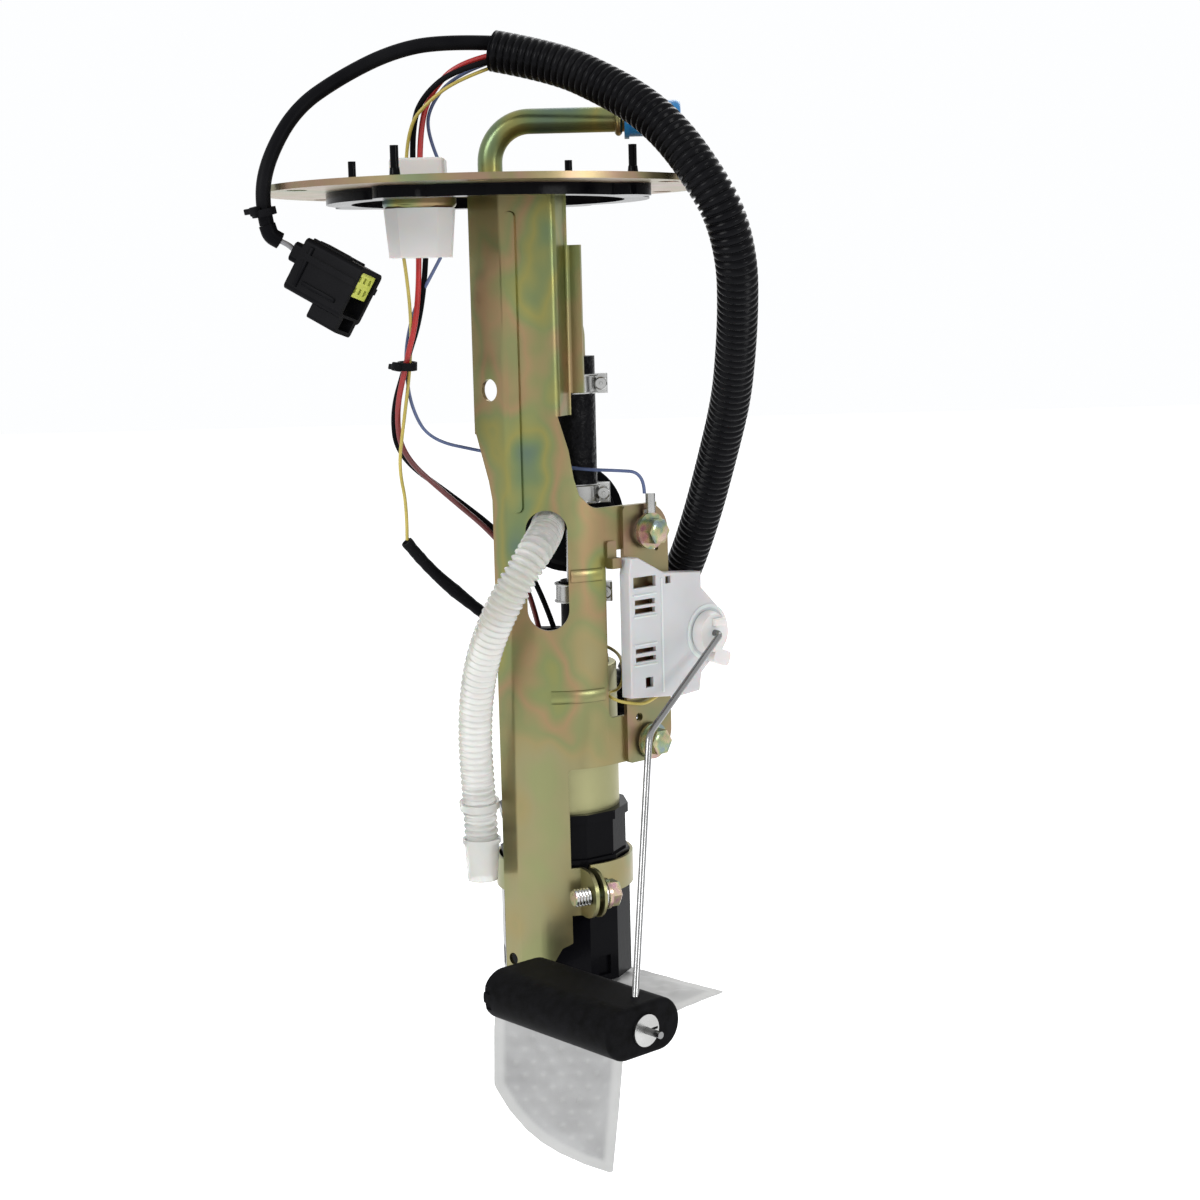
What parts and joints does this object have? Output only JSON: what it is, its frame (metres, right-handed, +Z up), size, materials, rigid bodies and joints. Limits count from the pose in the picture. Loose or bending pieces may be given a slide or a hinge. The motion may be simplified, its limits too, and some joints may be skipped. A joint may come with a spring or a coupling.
{
  "type": "fuel pump module",
  "caption": "In-tank fuel pump module: flange with bulkhead connector and outlet tube, hanger bracket, pump in rubber isolator, strainer, regulator and swinging level-sender float",
  "frame": {"origin": "centre of the flange, on its underside", "axes": "Z up out of the tank along the flange's axis, X along the outlet tube, Y to the back of the module"},
  "size_m": [0.157, 0.1618, 0.3838],
  "materials": {
    "plated_gold": "yellow zinc passivate, slightly iridescent",
    "zinc_bolt": "yellow zinc bolts",
    "pump_zinc": "satin yellow zinc on the pump's shell",
    "clear_hose": "natural translucent nylon hose",
    "lime_plastic": "yellow-green lock insert",
    "steel": "bare steel",
    "black_rubber": "matt nitrile rubber",
    "white_nylon": "natural nylon",
    "blue_plastic": "smooth blue cap",
    "black_plastic": "moulded black",
    "float_black": "fine foam",
    "grey_plastic": "moulded grey",
    "magnet": "ferrite",
    "brass": "sprung brass",
    "card": "ceramic card",
    "filter_cloth": "woven filter cloth",
    "red_wire": "pvc insulation",
    "blue_wire": "pvc insulation",
    "yellow_wire": "pvc insulation"
  },
  "bodies": {
    "module": {"bracket_clip": "steel", "bulkhead_connector": "white_nylon", "cable_ties": "black_plastic", "clamp_strap": "plated_gold", "conduit": "black_plastic", "connector_collar": "plated_gold", "connector_insert": "lime_plastic", "flange_gasket": "black_rubber", "flange_plate": "plated_gold", "fuel_hose": "black_rubber", "grey_wires": "grey_plastic", "hanger_bracket": "plated_gold", "harness_connector": "grey_plastic", "hex_nuts": "zinc_bolt", "hex_screws": "zinc_bolt", "hose_clamps": "steel", "inner_wire_black": "black_plastic", "inner_wire_blue": "blue_wire", "inner_wire_red": "red_wire", "inner_wire_yellow": "yellow_wire", "lead_cable": "black_plastic", "lead_sleeve": "black_plastic", "line_fitting": "steel", "outlet_tube": "plated_gold", "pump_divider": "black_plastic", "pump_hose": "black_rubber", "pump_inlet_cap": "black_plastic", "pump_isolator": "black_rubber", "pump_magnets": "magnet", "pump_plug": "black_plastic", "pump_shell": "pump_zinc", "pump_terminals": "steel", "pump_top_cap": "black_plastic", "regulator_body": "black_plastic", "resistor_card": "card", "return_hose": "clear_hose", "return_hose_cup": "clear_hose", "return_hose_ring": "clear_hose", "ring_terminal": "steel", "sender_housing": "white_nylon", "sender_plate": "plated_gold", "sender_wire": "yellow_wire", "splice_sleeve": "black_plastic", "strainer_neck": "white_nylon", "strainer_retainer": "steel", "strainer_sock": "filter_cloth", "tube_cap": "blue_plastic", "upper_wire_black": "black_plastic", "upper_wire_blue": "blue_wire", "upper_wire_red": "red_wire", "upper_wire_yellow": "yellow_wire", "washers": "steel"},
    "float_arm": {"rotor_hub": "white_nylon", "wiper": "brass", "float_rod": "steel", "float": "float_black", "float_washer": "steel"},
    "pump_rotor": {"pump_armature": "steel", "pump_shaft": "steel", "pump_impeller": "black_plastic"}
  },
  "joints": [
    {"name": "float_hinge", "type": "hinge", "parent": "module", "child": "float_arm", "pos_m": [0.06456, 0.01371, -0.147], "axis": [-0.6691, 0.7431, 0], "range_deg": [0, 80]},
    {"name": "pump_rotor_spin", "type": "hinge", "parent": "module", "child": "pump_rotor", "pos_m": [0.0188, 0.004, -0.2], "axis": [0, 0, 1], "continuous": true}
  ]
}
